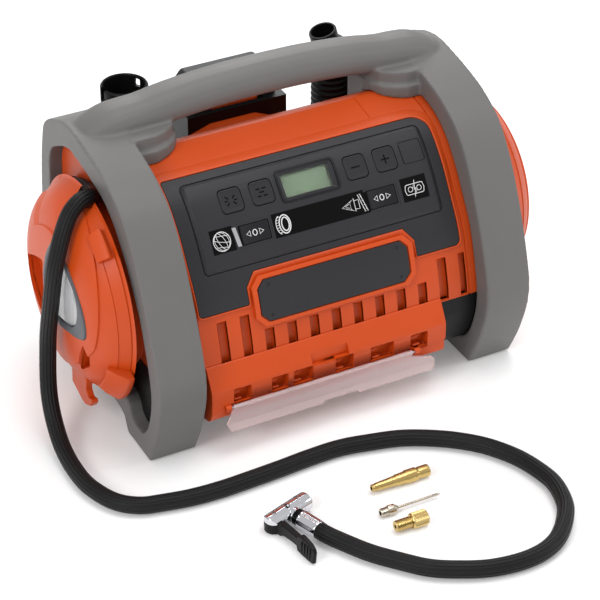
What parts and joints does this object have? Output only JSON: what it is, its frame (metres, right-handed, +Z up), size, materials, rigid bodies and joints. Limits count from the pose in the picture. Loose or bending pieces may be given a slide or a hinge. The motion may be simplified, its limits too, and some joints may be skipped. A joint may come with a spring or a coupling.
{
  "type": "portable air compressor",
  "caption": "Portable air compressor with hoop end frames, carrying handle, slide-on battery, thin hose with lever chuck, fat ribbed hose and loose adapters.",
  "frame": {"origin": "on the floor, at the centre of the footprint of the compressor and its loose adapters, without the free hose", "axes": "+X along the handle towards the right end dome, -Y towards the control panel, +Z up"},
  "size_m": [0.3687, 0.3862, 0.2182],
  "materials": {
    "hoop_plastic": "warm grey fine-textured moulded plastic",
    "orange_plastic": "orange-red satin moulded plastic",
    "black_plastic": "black moulded plastic",
    "panel_plastic": "dark grey fine-textured plastic",
    "key_plastic": "mid grey satin key plastic",
    "gloss_black": "gloss black print panel",
    "clear_plastic": "clear acrylic",
    "lcd_glass": "grey-green display glass",
    "soft_rubber": "black rubber",
    "hose_rubber": "dark grey hose",
    "chrome_plate": "chrome plated metal",
    "steel_parts": "bare steel",
    "brass_parts": "turned brass",
    "led_white": "white board and lamp chip",
    "circuit_board": "green circuit board",
    "gear_plastic": "natural nylon",
    "cast_aluminium": "cast aluminium"
  },
  "bodies": {
    "root": {"left_hoop": "hoop_plastic", "right_hoop": "hoop_plastic", "handle_upper": "hoop_plastic", "handle_lower": "hoop_plastic", "foot_pads": "soft_rubber", "front_housing": "orange_plastic", "rear_housing": "orange_plastic", "chassis_base": "black_plastic", "left_drum": "orange_plastic", "right_drum": "orange_plastic", "left_end_cap": "orange_plastic", "right_end_cap": "orange_plastic", "frame_screws": "steel_parts", "control_panel": "panel_plastic", "icon_strip": "gloss_black", "lcd_window": "clear_plastic", "lcd_module": "lcd_glass", "rocker_frames": "black_plastic", "panel_board": "circuit_board", "name_plate": "gloss_black", "lamp_bezel": "panel_plastic", "lamp_lens": "clear_plastic", "lamp_reflector": "chrome_plate", "lamp_led": "led_white", "accessory_tray": "orange_plastic", "lid_pins": "steel_parts", "air_hose": "hose_rubber", "hose_gland": "black_plastic", "hose_ferrule": "chrome_plate", "chuck_head": "chrome_plate", "chuck_pin": "steel_parts", "chuck_seal": "soft_rubber", "lp_hose": "hose_rubber", "lp_connector": "black_plastic", "lp_nozzle": "black_plastic", "lp_clips": "black_plastic", "battery_dock": "black_plastic", "dock_terminals": "brass_parts", "compressor_motor": "steel_parts", "cylinder_block": "cast_aluminium", "blower_housing": "black_plastic", "main_board": "circuit_board"},
    "lid": {"accessory_lid": "clear_plastic"},
    "mode_key": {"mode_button": "key_plastic"},
    "unit_key": {"unit_button": "key_plastic"},
    "minus_key": {"minus_button": "key_plastic"},
    "plus_key": {"plus_button": "key_plastic"},
    "high_switch": {"high_rocker": "key_plastic"},
    "lp_switch": {"lp_rocker": "key_plastic"},
    "lever": {"chuck_lever": "black_plastic"},
    "battery": {"battery_pack": "black_plastic"},
    "latch": {"battery_latch": "orange_plastic"},
    "crank": {"crank_gear": "gear_plastic"},
    "pinion": {"motor_pinion": "steel_parts"},
    "piston_rod": {"piston": "cast_aluminium"},
    "impeller": {"blower_impeller": "gear_plastic"},
    "cone_adapter": {"cone_nozzle": "brass_parts"},
    "needle_adapter": {"ball_needle": "brass_parts"},
    "thread_adapter": {"valve_adapter": "brass_parts"}
  },
  "joints": [
    {"name": "lid_hinge", "type": "hinge", "parent": "root", "child": "lid", "pos_m": [-0.01, -0.0298, 0.037], "axis": [-1, 0, 0], "range_deg": [0, 178]},
    {"name": "mode_press", "type": "slide", "parent": "root", "child": "mode_key", "axis": [0, 0.7253, -0.6885], "range_m": [0, 0.0012], "stiffness_N_per_m": 300, "springref_m": -0.001},
    {"name": "unit_press", "type": "slide", "parent": "root", "child": "unit_key", "axis": [0, 0.7253, -0.6885], "range_m": [0, 0.0012], "stiffness_N_per_m": 300, "springref_m": -0.001},
    {"name": "minus_press", "type": "slide", "parent": "root", "child": "minus_key", "axis": [0, 0.7253, -0.6885], "range_m": [0, 0.0012], "stiffness_N_per_m": 300, "springref_m": -0.001},
    {"name": "plus_press", "type": "slide", "parent": "root", "child": "plus_key", "axis": [0, 0.7253, -0.6885], "range_m": [0, 0.0012], "stiffness_N_per_m": 300, "springref_m": -0.001},
    {"name": "high_rock", "type": "hinge", "parent": "root", "child": "high_switch", "pos_m": [-0.0485, 0.01377, 0.1382], "axis": [0, 0.5344, 0.8452], "range_deg": [-8, 8]},
    {"name": "lp_rock", "type": "hinge", "parent": "root", "child": "lp_switch", "pos_m": [0.0465, 0.01377, 0.1382], "axis": [0, 0.5344, 0.8452], "range_deg": [-8, 8]},
    {"name": "lever_hinge", "type": "hinge", "parent": "root", "child": "lever", "pos_m": [-0.0986, -0.1142, 0.0066], "axis": [0, 0, 1], "range_deg": [-86, 0]},
    {"name": "battery_slide", "type": "slide", "parent": "root", "child": "battery", "axis": [0, 0, 1], "range_m": [0, 0.1]},
    {"name": "latch_press", "type": "slide", "parent": "battery", "child": "latch", "axis": [0, 1, 0], "range_m": [0, 0.002], "stiffness_N_per_m": 400, "springref_m": -0.001},
    {"name": "crank_spin", "type": "hinge", "parent": "root", "child": "crank", "pos_m": [-0.0275, 0.045, 0.098], "axis": [1, 0, 0], "continuous": true},
    {"name": "pinion_spin", "type": "hinge", "parent": "root", "child": "pinion", "pos_m": [-0.03, 0.045, 0.066], "axis": [1, 0, 0], "continuous": true},
    {"name": "piston_slide", "type": "slide", "parent": "root", "child": "piston_rod", "axis": [0, 1, 0], "range_m": [-0.016, 0]},
    {"name": "impeller_spin", "type": "hinge", "parent": "root", "child": "impeller", "pos_m": [0.057, 0.055, 0.098], "axis": [1, 0, 0], "continuous": true},
    {"name": "cone_lift", "type": "slide", "parent": "root", "child": "cone_adapter", "axis": [0, 0, 1], "range_m": [0, 0.1]},
    {"name": "needle_lift", "type": "slide", "parent": "root", "child": "needle_adapter", "axis": [0, 0, 1], "range_m": [0, 0.1]},
    {"name": "thread_lift", "type": "slide", "parent": "root", "child": "thread_adapter", "axis": [0, 0, 1], "range_m": [0, 0.1]}
  ],
  "couplings": [
    {"joint": "pinion_spin", "follows": "crank_spin", "ratio": -4.3333}
  ]
}
